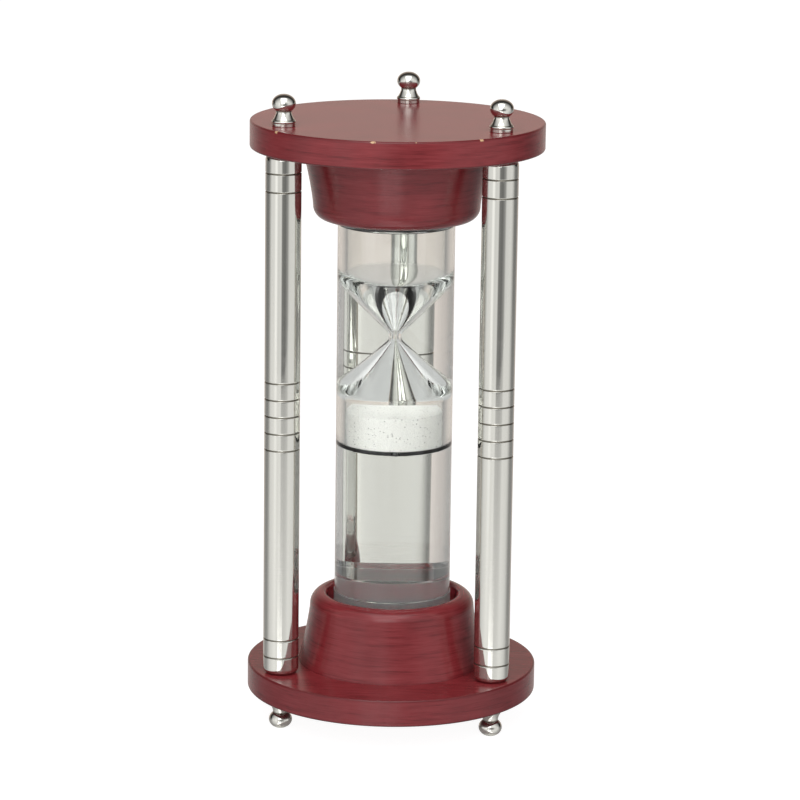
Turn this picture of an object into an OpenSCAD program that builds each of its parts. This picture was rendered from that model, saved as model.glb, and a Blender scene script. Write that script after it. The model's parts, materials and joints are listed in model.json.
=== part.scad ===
// Floating hourglass: a liquid-filled clear tube held between two turned wooden
// discs by three polished columns, with a sealed sand capsule that floats in it.
// Millimetres, +Z up. The origin is on the surface it stands on, under its axis.

/* [Discs] */
// Diameter of the top and bottom discs
disc_d = 127; // [124:0.5:140]
// Thickness of each disc
disc_t = 11.75; // [10:0.25:16]
// Radius that softens the disc edges
disc_edge_r = 0.8; // [0.3:0.1:2]

/* [Columns] */
// Clear height between the two discs
column_span = 228.6; // [226:0.2:240]
// Column diameter
column_d = 15.5; // [13:0.1:18]
// Radius of the circle that the columns stand on
column_circle_r = 53.2; // [52:0.1:54]
// Rounding at the column ends
column_end_r = 2.5; // [0.5:0.1:3]
// Radius of each turned groove
groove_r = 0.3; // [0.2:0.05:0.8]
// Spacing of the two grooves near each column end
end_groove_step = 7.9; // [6:0.1:12]
// Spacing of the five grooves at mid height
mid_groove_step = 7.4; // [5:0.2:10]
// Height of the middle groove above the middle of the column
mid_groove_rise = 1; // [-3:0.5:3]
// Diameter of the bore that the tie rod passes
column_bore_d = 6; // [5:0.5:8]
// Tie rod diameter
rod_d = 4; // [3:0.5:4]

/* [Finials and feet] */
// Height of a finial, and of a foot, which is the same part
finial_h = 13.65; // [12.5:0.05:15]
// Width of the ball
ball_d = 10.2; // [9:0.1:12]
// Height of the flattened ball
ball_h = 7.9; // [6.5:0.1:8.5]
// Diameter of the bead round the base
bead_d = 10.4; // [9.5:0.1:12]
// Neck diameter under the ball
neck_d = 6.6; // [6:0.1:8]
// Diameter of the small flat on the end of the ball
ball_flat_d = 2.4; // [1.5:0.1:4]

/* [Collars] */
// Height of each turned collar
collar_h = 31; // [28:0.5:34]
// Radius where a collar meets its disc
collar_base_r = 41; // [39:0.5:44]
// Radius at the end of the taper
collar_rim_r = 36.1; // [35.5:0.1:38]
// Radius of the round shoulder
collar_shoulder_r = 5.7; // [4:0.1:5.7]
// Bore radius that the tube end stands in
collar_bore_r = 28.9; // [28.5:0.1:29]
// Rounding of the inner lip
collar_lip_r = 1.4; // [0.8:0.1:1.4]
// Depth of the bore
collar_bore_depth = 16; // [14:0.5:18]

/* [Tube] */
// Outer diameter of the clear tube
tube_d = 50.8; // [50:0.1:51]
// Wall thickness of the tube
tube_wall = 2; // [1.5:0.1:2.2]
// Diameter of the plug flanges that the tube ends butt on
flange_d = 51.4; // [51:0.1:52]
// Thickness of the rubber pad behind each plug
pad_t = 2; // [1:0.5:3]
// Tube end above the lower disc
tube_rise = 32.1; // [28:0.1:36]
// Tube end below the upper disc
tube_drop = 26; // [22:0.5:28]
// Inner face of the lower plug above the lower disc
bottom_plug_rise = 40.6; // [38:0.2:50]
// Inner face of the upper plug below the upper disc
top_plug_drop = 31.7; // [31:0.1:34]

/* [Capsule] */
// Length of the floating capsule, end face to end face
capsule_h = 99; // [97:0.5:104]
// Inner radius of the two bulbs
bulb_r = 21.2; // [19:0.1:21.6]
// Wall thickness of the capsule
capsule_wall = 1; // [0.8:0.1:1.6]
// Radius of the hole at the waist
waist_r = 1; // [0.6:0.1:1.5]
// Radius of the throat curve at the waist
throat_r = 5; // [3:0.5:10]
// Angle of the bulb walls from the axis
cone_angle = 39.4; // [37:0.2:42]
// Radius of the curve from cone to cylinder
bulb_shoulder_r = 6; // [4:1:12]
// Thickness of an end cap
cap_t = 1.6; // [1.2:0.1:2.5]
// Thickness of the dark seal between each end cap and the shell
seal_t = 0.2; // [0.1:0.1:1]
// Depth of the sand at its edge
sand_depth = 14.7; // [8:0.1:16]
// Rise of the sand towards its middle
sand_mound = 1; // [0.4:0.2:3]

/* [Hidden] */
$fn = 96;

left = 210;
right = 330;
rear = 90;

z_disc = finial_h;                         // underside of the bottom disc
z_deck = z_disc + disc_t;                  // its top face
z_ceiling = z_deck + column_span;          // underside of the top disc
z_top = z_ceiling + disc_t;                // top face of the top disc

rod_clearance = 0.5;
thread_depth = 8;                          // tie rod inside a finial or a foot
bore_end_gap = 0.5;

tube_r = tube_d / 2;
tube_bore_r = tube_r - tube_wall;
collar_floor = collar_h - collar_bore_depth;
tube_z0 = z_deck + tube_rise;
tube_z1 = z_ceiling - tube_drop;
bond_gap = 0.02;                           // glue line round a plug
pad_r = flange_d / 2 - 0.5;

ring_section_r = (collar_bore_r - flange_d / 2) / 2 - 0.01;
ring_centre_r = (collar_bore_r + flange_d / 2) / 2;
upper_ring_drop = collar_h - 0.5;          // the upper ring stands proud of its collar
lower_ring_rise = collar_h - 9;            // the lower ring sits down in its collar

screw_circle_r = 15;
screw_r = 1.75;
screw_head_r = 3.6;
screw_head_h = 2;
screw_sink = 0.3;                          // head below the collar floor
screw_length = collar_floor + 7;

filler_r = 3;
filler_length = 11;
filler_sink = 1;                           // filler screw below the plug's back face

capsule_gap = 0.4;                         // capsule to top plug when it floats
capsule_z1 = z_ceiling - top_plug_drop - capsule_gap;
waist_z = capsule_z1 - capsule_h / 2;
shell_half = capsule_h / 2 - cap_t - seal_t;   // from the waist to the shell's open end
seal_land = 0.6;                           // shell end face left bare inside the seal
stopper_r = 1.8;
stopper_xy = [2.3, -18.9];                 // the stopper stands near the front of the base cap
stopper_drop = 0.6;                        // the stopper's dome below the base cap
sand_gap = 0.2;                            // sand to the bulb wall

// Points of an arc about c from angle a0 to a1
function arc(c, r, a0, a1, n = 8) =
    [for (i = [0:n]) let (a = a0 + (a1 - a0) * i / n) c + r * [cos(a), sin(a)]];

// ---- wooden discs and collars ----

module disc_blank() {
    r = disc_d / 2 - disc_edge_r;
    rotate_extrude() polygon(concat(
        [[0, 0]],
        arc([r, disc_edge_r], disc_edge_r, -90, 0, 6),
        arc([r, disc_t - disc_edge_r], disc_edge_r, 0, 90, 6),
        [[0, disc_t]]));
}

module rod_holes() {
    for (a = [left, right, rear]) rotate(a) translate([column_circle_r, 0, -1])
        cylinder(r = rod_d / 2 + rod_clearance, h = disc_t + 2);
}

// Places children at the collar screws, midway between the columns
module at_screws() {
    for (a = [left, right, rear]) rotate(a + 60) translate([screw_circle_r, 0, 0]) children();
}

// A disc with its pilot holes in the face that the collar is screwed to
module drilled_disc() {
    pilot = screw_length - collar_floor - screw_sink + 1;
    difference() {
        disc_blank();
        rod_holes();
        at_screws() translate([0, 0, disc_t - pilot]) cylinder(r = screw_r, h = pilot + 1);
    }
}

module bottom_disc() {
    color([0.45, 0.13, 0.15]) translate([0, 0, z_disc]) drilled_disc();
}

module top_disc() {
    color([0.45, 0.13, 0.15]) translate([0, 0, z_top]) mirror([0, 0, 1]) drilled_disc();
}

collar_wall_h = collar_h - collar_shoulder_r;
collar_wall_curve = 1.3;
function collar_wall(h) = collar_rim_r
    + (collar_base_r - collar_rim_r) * pow(1 - h / collar_wall_h, collar_wall_curve);

// A collar standing on z = 0 with its bore upwards
module collar_body() {
    difference() {
        rotate_extrude() polygon(concat(
            [[0, 0]],
            [for (i = [0:9]) let (h = collar_wall_h * i / 10) [collar_wall(h), h]],
            arc([collar_rim_r - collar_shoulder_r, collar_wall_h], collar_shoulder_r, 0, 90, 10),
            arc([collar_bore_r + collar_lip_r, collar_h - collar_lip_r], collar_lip_r, 90, 180, 6),
            [[collar_bore_r, collar_floor], [0, collar_floor]]));
        at_screws() {
            translate([0, 0, -1]) cylinder(r = screw_r + 0.2, h = collar_floor + 2);
            translate([0, 0, collar_floor - screw_sink - screw_head_h])
                cylinder(r1 = screw_r + 0.2, r2 = screw_head_r + 0.2, h = screw_head_h);
            translate([0, 0, collar_floor - screw_sink])
                cylinder(r = screw_head_r + 0.2, h = screw_sink + 1);
        }
    }
}

module lower_collar() {
    color([0.45, 0.13, 0.15]) translate([0, 0, z_deck]) collar_body();
}

module upper_collar() {
    color([0.45, 0.13, 0.15]) translate([0, 0, z_ceiling]) mirror([0, 0, 1]) collar_body();
}

// Countersunk screws that hold a collar to its disc
module screws() {
    top = collar_floor - screw_sink;
    at_screws() difference() {
        union() {
            translate([0, 0, top - screw_length + 2]) cylinder(r = screw_r - 0.02, h = screw_length - 2);
            translate([0, 0, top - screw_length])
                cylinder(r1 = 0.4, r2 = screw_r - 0.02, h = 2);
            translate([0, 0, top - screw_head_h])
                cylinder(r1 = screw_r, r2 = screw_head_r, h = screw_head_h);
        }
        for (q = [0, 90]) translate([0, 0, top - 0.4]) rotate(q) cube([4, 0.9, 1.6], center = true);
    }
}

module lower_collar_screws() {
    color([0.7, 0.68, 0.6]) translate([0, 0, z_deck]) screws();
}

module upper_collar_screws() {
    color([0.7, 0.68, 0.6]) translate([0, 0, z_ceiling]) mirror([0, 0, 1]) screws();
}

// ---- columns, tie rods, finials and feet ----

groove_heights = concat(
    [for (i = [1, 2]) i * end_groove_step],
    [for (i = [-2:2]) column_span / 2 + mid_groove_rise + i * mid_groove_step],
    [for (i = [2, 1]) column_span - i * end_groove_step]);

module column(angle) {
    r = column_d / 2;
    bore = column_bore_d / 2;
    color([0.78, 0.76, 0.74]) rotate(angle) translate([column_circle_r, 0, z_deck])
        rotate_extrude() polygon(concat(
            [[bore, 0]],
            arc([r - column_end_r, column_end_r], column_end_r, -90, 0, 6),
            [for (h = groove_heights) each arc([r, h], groove_r, 270, 90, 6)],
            arc([r - column_end_r, column_span - column_end_r], column_end_r, 0, 90, 6),
            [[bore, column_span]]));
}

module tie_rod(angle) {
    color([0.6, 0.6, 0.62]) rotate(angle)
        translate([column_circle_r, 0, z_disc - thread_depth])
            cylinder(d = rod_d, h = z_top - z_disc + 2 * thread_depth);
}

bead_z = 2.1;                              // height of the bead on a finial
bead_r = 0.7;
flare_z = 6.2;                             // where the flare ends in the neck
flare_bow = 0.25;                          // how far the flare curves in
ball_z = finial_h - ball_h / 2;            // centre of the ball

// A finial standing on z = 0 with its ball upwards
module finial_body() {
    rb = bead_d / 2 - bead_r;
    flare_z0 = bead_z + bead_r;
    neck_a = acos(neck_d / ball_d);
    flat_a = acos(ball_flat_d / ball_d);
    rotate_extrude() polygon(concat(
        [[rod_d / 2, 0], [rb + 0.5, 0], [rb + 0.5, bead_z - bead_r]],
        arc([rb, bead_z], bead_r, -60, 60, 8),
        [for (i = [0:6]) let (t = i / 6)
            [rb + 0.2 + (neck_d / 2 - rb - 0.2) * t - flare_bow * sin(180 * t),
             flare_z0 + (flare_z - flare_z0) * t]],
        [for (i = [0:14]) let (a = -neck_a + (flat_a + neck_a) * i / 14)
            [ball_d / 2 * cos(a), ball_z + ball_h / 2 * sin(a) / sin(flat_a)]],
        [[0, finial_h], [0, thread_depth + bore_end_gap], [rod_d / 2, thread_depth + bore_end_gap]]));
}

module finial(angle) {
    color([0.78, 0.76, 0.74]) rotate(angle) translate([column_circle_r, 0, z_top]) finial_body();
}

module foot(angle) {
    color([0.78, 0.76, 0.74]) rotate(angle) translate([column_circle_r, 0, z_disc])
        mirror([0, 0, 1]) finial_body();
}

// ---- clear tube, its plugs, pads and rings ----

module tube() {
    color([0.85, 0.88, 0.88, 0.35]) difference() {
        translate([0, 0, tube_z0]) cylinder(r = tube_r, h = tube_z1 - tube_z0);
        translate([0, 0, tube_z0 - 1]) cylinder(r = tube_bore_r, h = tube_z1 - tube_z0 + 2);
    }
}

// A plug with its back face on z = 0: a flange, then a spigot inside the tube
module plug_body(flange_h, plug_h) {
    cylinder(d = flange_d, h = flange_h);
    cylinder(r = tube_bore_r - bond_gap, h = plug_h);
}

plug_base = collar_floor + pad_t;          // back face of a plug from its disc

module bottom_plug() {
    color([0.72, 0.76, 0.75, 0.6]) translate([0, 0, z_deck + plug_base])
        plug_body(tube_rise - plug_base, bottom_plug_rise - plug_base);
}

module top_plug() {
    color([0.72, 0.76, 0.75, 0.6]) translate([0, 0, z_ceiling - plug_base]) mirror([0, 0, 1])
        difference() {
            plug_body(tube_drop - plug_base, top_plug_drop - plug_base);
            translate([0, 0, -1]) cylinder(r = filler_r, h = top_plug_drop);
        }
}

// Screw that closes the hole the tube is filled through
module filler_screw() {
    color([0.92, 0.92, 0.9]) translate([0, 0, z_ceiling - plug_base - filler_sink])
        mirror([0, 0, 1]) difference() {
            cylinder(r = filler_r - bond_gap, h = filler_length);
            cube([2 * filler_r - 1, 1, 2.4], center = true);
        }
}

module lower_pad() {
    color([0.08, 0.08, 0.08]) translate([0, 0, z_deck + collar_floor])
        cylinder(r = pad_r, h = pad_t);
}

module upper_pad() {
    color([0.08, 0.08, 0.08]) translate([0, 0, z_ceiling - plug_base])
        cylinder(r = pad_r, h = pad_t);
}

// Round rubber ring that centres the tube in a collar
module ring(z) {
    color([0.05, 0.05, 0.05]) translate([0, 0, z]) rotate_extrude()
        translate([ring_centre_r, 0]) circle(r = ring_section_r, $fn = 48);
}

module upper_ring() {
    ring(z_ceiling - upper_ring_drop);
}

module lower_ring() {
    ring(z_deck + lower_ring_rise);
}

// ---- floating capsule and its sand ----

// Half outline of a bulb, from the waist up, moved out from the cavity by d
function bulb_outline(d) = let (
    x1 = waist_r + throat_r * (1 - cos(cone_angle)),
    x2 = bulb_r - bulb_shoulder_r * (1 - cos(cone_angle)),
    y2 = throat_r * sin(cone_angle) + (x2 - x1) / tan(cone_angle),
    shoulder_y = y2 + bulb_shoulder_r * sin(cone_angle))
    concat(
        arc([waist_r + throat_r, 0], throat_r - d, 180, 180 - cone_angle, 6),
        arc([bulb_r - bulb_shoulder_r, shoulder_y], bulb_shoulder_r + d, -cone_angle, 0, 8),
        [[bulb_r + d, shell_half]]);

function flipped(points) = [for (i = [len(points) - 1:-1:1]) [points[i][0], -points[i][1]]];

// Both bulbs, from the lower open end to the upper one
function bulbs_outline(d) = concat(flipped(bulb_outline(d)), bulb_outline(d));

module capsule_shell() {
    inner = bulbs_outline(0);
    outer = bulbs_outline(capsule_wall);
    color([0.85, 0.88, 0.88, 0.35]) translate([0, 0, waist_z]) rotate_extrude()
        polygon(concat([for (i = [len(inner) - 1:-1:0]) inner[i]], outer));
}

module capsule_top_cap() {
    color([0.85, 0.88, 0.88, 0.35]) translate([0, 0, capsule_z1 - cap_t])
        cylinder(r = bulb_r + capsule_wall, h = cap_t);
}

module capsule_base_cap() {
    color([0.85, 0.88, 0.88, 0.35]) translate([0, 0, capsule_z1 - capsule_h]) difference() {
        cylinder(r = bulb_r + capsule_wall, h = cap_t);
        translate([stopper_xy.x, stopper_xy.y, -1]) cylinder(r = stopper_r, h = cap_t + 2);
    }
}

// Dark seal between the shell's end face and a cap
module seal(z) {
    color([0.12, 0.12, 0.13]) translate([0, 0, z]) difference() {
        cylinder(r = bulb_r + capsule_wall, h = seal_t);
        translate([0, 0, -1]) cylinder(r = bulb_r + seal_land, h = seal_t + 2);
    }
}

module capsule_top_seal() {
    seal(waist_z + shell_half);
}

module capsule_base_seal() {
    seal(waist_z - shell_half - seal_t);
}

// Stopper in the hole that the sand is poured through
module sand_stopper() {
    dome_r = (stopper_r * stopper_r + stopper_drop * stopper_drop) / (2 * stopper_drop);
    dome_a = asin(stopper_r / dome_r);
    color([0.3, 0.3, 0.32])
        translate([stopper_xy.x, stopper_xy.y, capsule_z1 - capsule_h]) rotate_extrude()
        polygon(concat(
            [[0, cap_t]],
            arc([0, dome_r - stopper_drop], dome_r, -90, dome_a - 90, 5),
            [[stopper_r - bond_gap, cap_t]]));
}

module sand() {
    z0 = cap_t - capsule_h / 2;
    color([0.95, 0.94, 0.92]) translate([0, 0, waist_z]) intersection() {
        rotate_extrude() polygon(concat(
            [[0, -capsule_h], [bulb_r - sand_gap, -capsule_h]],
            flipped(bulb_outline(-sand_gap)), [[0, 0]]));
        union() {
            translate([0, 0, z0]) cylinder(r = bulb_r, h = sand_depth);
            translate([0, 0, z0 + sand_depth]) cylinder(r1 = bulb_r - 1, r2 = 4, h = sand_mound);
        }
    }
}

top_disc();
bottom_disc();
upper_collar();
lower_collar();
column(left);  // column_left
column(right);  // column_right
column(rear);  // column_rear
tie_rod(left);  // tie_rod_left
tie_rod(right);  // tie_rod_right
tie_rod(rear);  // tie_rod_rear
finial(left);  // finial_left
finial(right);  // finial_right
finial(rear);  // finial_rear
foot(left);  // foot_left
foot(right);  // foot_right
foot(rear);  // foot_rear
upper_collar_screws();
lower_collar_screws();
upper_pad();
lower_pad();
upper_ring();
lower_ring();
tube();
top_plug();
bottom_plug();
filler_screw();
capsule_shell();
capsule_top_cap();
capsule_base_cap();
capsule_top_seal();
capsule_base_seal();
sand_stopper();
sand();
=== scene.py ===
"""Floating hourglass: turned burgundy discs and collars, nickel-plated columns, a
liquid-filled acrylic tube and the sand capsule that floats in it."""

import json
import math

import bmesh
import bpy
from mathutils import Matrix, Vector, noise

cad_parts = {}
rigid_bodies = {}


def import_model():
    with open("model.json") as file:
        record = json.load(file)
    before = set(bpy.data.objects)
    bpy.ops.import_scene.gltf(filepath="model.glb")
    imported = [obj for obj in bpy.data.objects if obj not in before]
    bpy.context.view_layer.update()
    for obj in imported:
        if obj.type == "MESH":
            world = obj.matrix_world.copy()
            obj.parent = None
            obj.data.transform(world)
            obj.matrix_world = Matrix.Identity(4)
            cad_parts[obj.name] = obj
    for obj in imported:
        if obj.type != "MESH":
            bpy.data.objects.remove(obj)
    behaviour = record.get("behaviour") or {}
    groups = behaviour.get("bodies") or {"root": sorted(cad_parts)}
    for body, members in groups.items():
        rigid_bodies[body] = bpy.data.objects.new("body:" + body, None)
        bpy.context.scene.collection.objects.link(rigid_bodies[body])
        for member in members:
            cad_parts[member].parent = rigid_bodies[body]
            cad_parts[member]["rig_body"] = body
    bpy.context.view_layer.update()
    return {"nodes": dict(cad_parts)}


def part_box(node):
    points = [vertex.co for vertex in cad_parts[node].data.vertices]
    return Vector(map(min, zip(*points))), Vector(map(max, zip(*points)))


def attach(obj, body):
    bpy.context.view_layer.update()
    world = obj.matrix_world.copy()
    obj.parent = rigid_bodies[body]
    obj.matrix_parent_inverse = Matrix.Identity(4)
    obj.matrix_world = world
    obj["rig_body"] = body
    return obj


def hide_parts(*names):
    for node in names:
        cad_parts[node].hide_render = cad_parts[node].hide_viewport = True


bl_info = {
    "name": "Floating hourglass",
    "version": (1, 0, 0),
    "blender": (4, 5, 0),
    "location": "3D View > Sidebar > Hourglass",
    "description": "Builds the visible pieces of a floating hourglass round its CAD frame",
    "category": "Object",
}

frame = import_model()
MM = 0.001

SIDES = ("left", "right", "rear")
SCREW_CIRCLE = 15 * MM  # radius of the circle that the collar screws stand on
ROD_CLEARANCE = 0.5 * MM  # round each tie rod, in the discs
FIT = 0.02 * MM  # gap left between pieces that are glued or pressed together
SHARP = math.radians(32)  # edges that bend more than this are shaded sharp


def srgb(code):
    """Linear colour of an sRGB hex value."""
    channels = [int(code[i : i + 2], 16) / 255 for i in (0, 2, 4)]
    return [c / 12.92 if c <= 0.04045 else ((c + 0.055) / 1.055) ** 2.4 for c in channels]


def middle(node):
    """Centre of a CAD node's box."""
    low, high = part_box(node)
    return (low + high) / 2


def reach(node):
    """Half the width of a CAD node's box."""
    low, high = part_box(node)
    return (high.x - low.x) / 2


def levels(node):
    """Lowest and highest point of a CAD node."""
    low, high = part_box(node)
    return low.z, high.z


# ---- sizes and colours that a user would change ----


def length(name, description, default):
    """A length that shows in the panel."""
    return bpy.props.FloatProperty(
        name=name,
        description=description,
        default=default,
        min=0,
        precision=5,
        unit="LENGTH",
    )


def colour(name, description, code):
    """A colour that shows in the panel."""
    return bpy.props.FloatVectorProperty(
        name=name,
        description=description,
        default=srgb(code),
        min=0,
        max=1,
        subtype="COLOR",
    )


class HourglassSizes(bpy.types.PropertyGroup):
    """Small sizes of the turned and moulded pieces"""

    disc_edge: length("Disc edge", "Radius that softens a disc's edges", 0.8 * MM)
    shoulder: length("Collar shoulder", "Radius of a collar's round shoulder", 5.7 * MM)
    collar_rim: length("Collar rim", "Radius at the end of a collar's taper", 36.1 * MM)
    collar_bore: length("Collar bore", "Radius of the bore the tube stands in", 28.9 * MM)
    collar_floor: length("Collar floor", "Thickness of wood under the bore", 15 * MM)
    collar_lip: length("Collar lip", "Rounding of a collar's inner lip", 1.4 * MM)
    column_end: length("Column end", "Rounding of a column's ends", 2.5 * MM)
    groove: length("Groove", "Radius of each turned groove", 0.3 * MM)
    groove_lip: length("Groove lip", "Rounding of a groove's two lips", 0.12 * MM)
    end_step: length("End groove step", "Spacing of the two grooves at an end", 7.9 * MM)
    middle_step: length("Middle groove step", "Spacing of the five middle grooves", 7.4 * MM)
    middle_rise: length("Middle rise", "Height of the middle groove above mid column", 1 * MM)
    ball: length("Ball height", "Height of the flattened ball on a finial", 7.9 * MM)
    neck: length("Neck", "Diameter of the neck under the ball", 6.6 * MM)
    tube_wall: length("Tube wall", "Wall thickness of the clear tube", 2 * MM)
    capsule_wall: length("Capsule wall", "Wall thickness of the capsule", 1 * MM)
    waist: length("Waist", "Radius of the hole at the capsule's waist", 1 * MM)
    throat: length("Throat", "Radius of the curve at the waist", 5 * MM)
    bulb_curve: length("Bulb curve", "Radius of the curve from cone to cylinder", 6 * MM)
    cone: bpy.props.FloatProperty(
        name="Cone angle",
        description="Angle of the bulb walls from the axis",
        default=math.radians(39.4),
        min=0,
        subtype="ANGLE",
    )
    sand_mound: length("Sand mound", "Rise of the sand towards its middle", 1 * MM)


class HourglassColours(bpy.types.PropertyGroup):
    """Colours of the finishes"""

    lacquer_dark: colour("Lacquer, dark", "Burgundy where the glaze gathers", "5A181C")
    lacquer: colour("Lacquer", "Burgundy lacquer", "842C31")
    lacquer_light: colour("Lacquer, light", "Burgundy where the brush left it thin", "963E42")
    chip: colour("Chip", "Gold size that shows where the edge is chipped", "D9B48A")
    nickel: colour("Nickel", "Polished nickel plate", "DAD9D2")
    # Painted shade: the dull grey that the nickel is mixed towards in its grooves
    painted_groove_shade: colour("Painted groove shade", "Painted shade in the grooves", "8A867C")
    zinc: colour("Zinc", "Zinc plate on the hidden steel", "9A9D9F")
    acrylic: colour("Acrylic", "Tint of the clear acrylic and the liquid", "FDFEFD")
    rubber: colour("Rubber", "Black rubber", "17181A")
    nylon: colour("Nylon", "White nylon", "E9E7E0")
    sand: colour("Sand", "White quartz sand", "FAF8F4")
    grain: colour("Dark grain", "The few dark grains in the sand", "6B655E")
    floor: colour("Floor", "Matt white board", "EDEDED")


def sizes():
    """Sizes set in the panel."""
    return bpy.context.scene.hourglass_sizes


def colours():
    """Colours set in the panel."""
    return bpy.context.scene.hourglass_colours


# ---- meshes ----


def arc(centre, radius, start, end, steps=12):
    """Points of an arc on an outline, between two angles in degrees."""
    points = []
    for i in range(steps + 1):
        angle = math.radians(start + (end - start) * i / steps)
        points.append(
            (centre[0] + radius * math.cos(angle), centre[1] + radius * math.sin(angle))
        )
    return points


def held(outline, gap=0.3 * MM):
    """Adds points beside the ends of long straight runs, so that flats shade flat."""
    points = []
    for (r0, z0), (r1, z1) in zip(outline, outline[1:] + outline[:1]):
        points.append((r0, z0))
        run = math.hypot(r1 - r0, z1 - z0)
        if run > 4 * gap:
            for share in (gap / run, 1 - gap / run):
                points.append((r0 + (r1 - r0) * share, z0 + (z1 - z0) * share))
    return points


def placed(outline, base, upside_down):
    """An outline drawn up from 0, stood on a level or hung from it."""
    if upside_down:
        return [(r, base - z) for r, z in reversed(outline)]
    return [(r, base + z) for r, z in outline]


def bends(outline):
    """How sharply the outline bends at each point, per millimetre: over 0 is an edge, and
    under 0 a hollow."""
    values = []
    count = len(outline)
    for i, (r, z) in enumerate(outline):
        before = Vector((r, z)) - Vector(outline[i - 1])
        after = Vector(outline[(i + 1) % count]) - Vector((r, z))
        turn = before.angle_signed(after, 0) if before.length * after.length else 0
        values.append(-turn / max((before.length + after.length) / 2 / MM, 0.05))
    return values


def ring_of(work, radius, height, segments, centre):
    """One ring of the lathe, or a single point on the axis."""
    if radius < 1e-9:
        return [work.verts.new((centre[0], centre[1], height))]
    ring = []
    for i in range(segments):
        angle = 2 * math.pi * i / segments
        x = centre[0] + radius * math.cos(angle)
        y = centre[1] + radius * math.sin(angle)
        ring.append(work.verts.new((x, y, height)))
    return ring


def lathe(name, outline, segments, centre=(0, 0), kinds=None):
    """Turns a closed outline of (radius, height) points, drawn anticlockwise, into a piece.

    kinds gives each run of the outline a material number. The points carry three
    values for the finishes: along, corner and hollow."""
    mesh = bpy.data.meshes.new(name)
    work = bmesh.new()
    marks = [work.verts.layers.float.new(key) for key in ("along", "corner", "hollow")]
    rings = []
    along = 0
    last = outline[0]
    for (radius, height), bend in zip(outline, bends(outline)):
        ring = ring_of(work, radius, height, segments, centre)
        along += math.hypot(radius - last[0], height - last[1])
        last = (radius, height)
        for vert in ring:
            vert[marks[0]] = along
            vert[marks[1]] = max(0, min(1, bend))
            vert[marks[2]] = max(0, min(1, -bend))
        rings.append(ring)
    for index, (low, high) in enumerate(zip(rings, rings[1:] + rings[:1])):
        if len(low) == len(high) == 1:
            continue
        for i in range(segments):
            j = (i + 1) % segments
            corners = (
                low[i % len(low)],
                low[j % len(low)],
                high[j % len(high)],
                high[i % len(high)],
            )
            face = work.faces.new(list(dict.fromkeys(corners)))
            face.material_index = kinds[index] if kinds else 0
    bmesh.ops.recalc_face_normals(work, faces=work.faces)
    work.to_mesh(mesh)
    work.free()
    mesh.shade_smooth()
    mesh.set_sharp_from_angle(angle=SHARP)
    piece = bpy.data.objects.new(name, mesh)
    bpy.context.scene.collection.objects.link(piece)
    return piece


def drill(piece, bits):
    """Drills the piece with lathed bits, which are then removed."""
    for bit in bits:
        cut = piece.modifiers.new("drill", "BOOLEAN")
        cut.operation = "DIFFERENCE"
        cut.solver = "EXACT"
        cut.object = bit
    bpy.context.view_layer.update()
    shape = piece.evaluated_get(bpy.context.evaluated_depsgraph_get())
    drilled = bpy.data.meshes.new_from_object(shape)
    piece.modifiers.clear()
    piece.data = drilled
    drilled.shade_smooth()
    drilled.set_sharp_from_angle(angle=SHARP)
    for bit in bits:
        bpy.data.objects.remove(bit)


def rod_bits(low, high):
    """Bits for the holes that the three tie rods pass."""
    bits = []
    for side in SIDES:
        node = "tie_rod_" + side
        radius = reach(node) + ROD_CLEARANCE
        outline = [(0, low), (radius, low), (radius, high), (0, high)]
        bits.append(lathe("bit", outline, 48, middle(node)))
    return bits


def screw_bits(profile, base, upside_down):
    """Bits for the three collar screws, from an outline drawn up from a level."""
    bits = []
    for turn in (270, 30, 150):
        angle = math.radians(turn)
        centre = (SCREW_CIRCLE * math.cos(angle), SCREW_CIRCLE * math.sin(angle))
        bits.append(lathe("bit", placed(profile, base, upside_down), 32, centre))
    return bits


def show(piece, node, materials):
    """Puts a finished piece in the place of its CAD node."""
    for material in materials:
        piece.data.materials.append(material)
    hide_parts(node)
    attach(piece, frame["nodes"][node]["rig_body"])


# ---- finishes ----


def add(tree, kind, inputs=None, **settings):
    """Adds a node with its settings, and gives its inputs a value or a link."""
    node = tree.nodes.new("ShaderNode" + kind)
    for name, value in settings.items():
        if name == "stops":
            while len(node.color_ramp.elements) < len(value):
                node.color_ramp.elements.new(1)
            for element, (position, level) in zip(node.color_ramp.elements, value):
                element.position = position
                element.color = (*level, 1)
        else:
            setattr(node, name, value)
    for key, value in (inputs or {}).items():
        if isinstance(value, bpy.types.NodeSocket):
            tree.links.new(value, node.inputs[key])
        else:
            node.inputs[key].default_value = value
    return node.outputs[0] if node.outputs else None


def finish_called(name, make):
    """The material of that name, made once."""
    material = bpy.data.materials.get(name)
    if material is None:
        material = bpy.data.materials.new(name)
        material.use_nodes = True
        material.node_tree.nodes.clear()
        surface = make(material.node_tree)
        add(material.node_tree, "OutputMaterial", {"Surface": surface})
    return material


def grey(level):
    """A ramp stop's colour with three like channels."""
    return (level, level, level)


def streaked(tree, size, turned):
    """Coordinates stretched into strokes of a given length and width, in millimetres: round
    a turned piece, or along X on a flat."""
    stroke, width = size
    place = add(tree, "TexCoord").node.outputs["Object"]
    if not turned:
        scale = (1 / (stroke * MM), 1 / (width * MM), 1 / (width * MM))
        return add(tree, "VectorMath", {0: place, 1: scale}, operation="MULTIPLY")
    parts = add(tree, "SeparateXYZ", {0: place}).node
    along = add(tree, "Attribute", attribute_name="along").node
    spun = add(
        tree,
        "CombineXYZ",
        {0: parts.outputs[0], 1: parts.outputs[1], 2: along.outputs["Fac"]},
    )
    scale = (1 / (stroke * MM), 1 / (stroke * MM), 1 / (width * MM))
    return add(tree, "VectorMath", {0: spun, 1: scale}, operation="MULTIPLY")


# Azimuth from the front, in degrees, and half length, in millimetres, of each chip on
# the top disc's upper edge
CHIPS = ((-48.5, 1.3), (-4.3, 1.3), (11.8, 0.5), (38.5, 1.3))


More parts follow.
